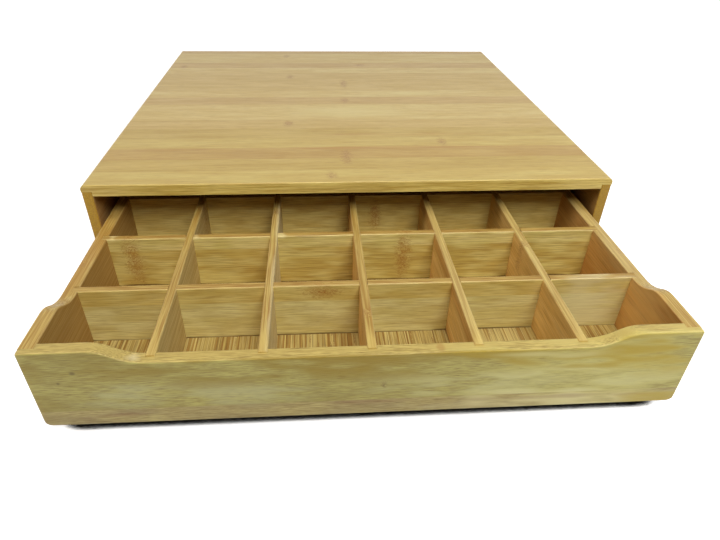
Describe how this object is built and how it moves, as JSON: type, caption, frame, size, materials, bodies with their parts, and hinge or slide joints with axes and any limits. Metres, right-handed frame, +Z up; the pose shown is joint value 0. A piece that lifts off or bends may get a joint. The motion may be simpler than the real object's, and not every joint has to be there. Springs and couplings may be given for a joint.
{
  "type": "coffee capsule drawer",
  "caption": "Low bamboo cabinet with one sliding drawer, divided by halved strips into square compartments for coffee capsules; the drawer front dips in the middle for the fingers.",
  "frame": {"origin": "middle of the cabinet's underside, on the surface that the cabinet stands on", "axes": "+X to the right as seen from the front, +Y from the front to the back, +Z up"},
  "size_m": [0.34, 0.474, 0.072],
  "materials": {
    "bamboo_panel": "satin",
    "bamboo_board": "satin",
    "bamboo_front": "satin",
    "bamboo_strip": "satin",
    "bamboo_floor": "matt"
  },
  "bodies": {
    "cabinet": {"cabinet_top": "bamboo_panel", "cabinet_bottom": "bamboo_panel", "cabinet_left_side": "bamboo_board", "cabinet_right_side": "bamboo_board", "cabinet_back": "bamboo_board"},
    "drawer": {"drawer_front": "bamboo_front", "drawer_left_side": "bamboo_board", "drawer_right_side": "bamboo_board", "drawer_back": "bamboo_board", "drawer_bottom": "bamboo_floor", "long_divider_1": "bamboo_strip", "long_divider_2": "bamboo_strip", "long_divider_3": "bamboo_strip", "long_divider_4": "bamboo_strip", "long_divider_5": "bamboo_strip", "cross_divider_1": "bamboo_strip", "cross_divider_2": "bamboo_strip", "cross_divider_3": "bamboo_strip", "cross_divider_4": "bamboo_strip", "cross_divider_5": "bamboo_strip"}
  },
  "joints": [
    {"name": "drawer_slide", "type": "slide", "parent": "cabinet", "child": "drawer", "axis": [0, -1, 0], "range_m": [-0.138, 0.138]}
  ]
}
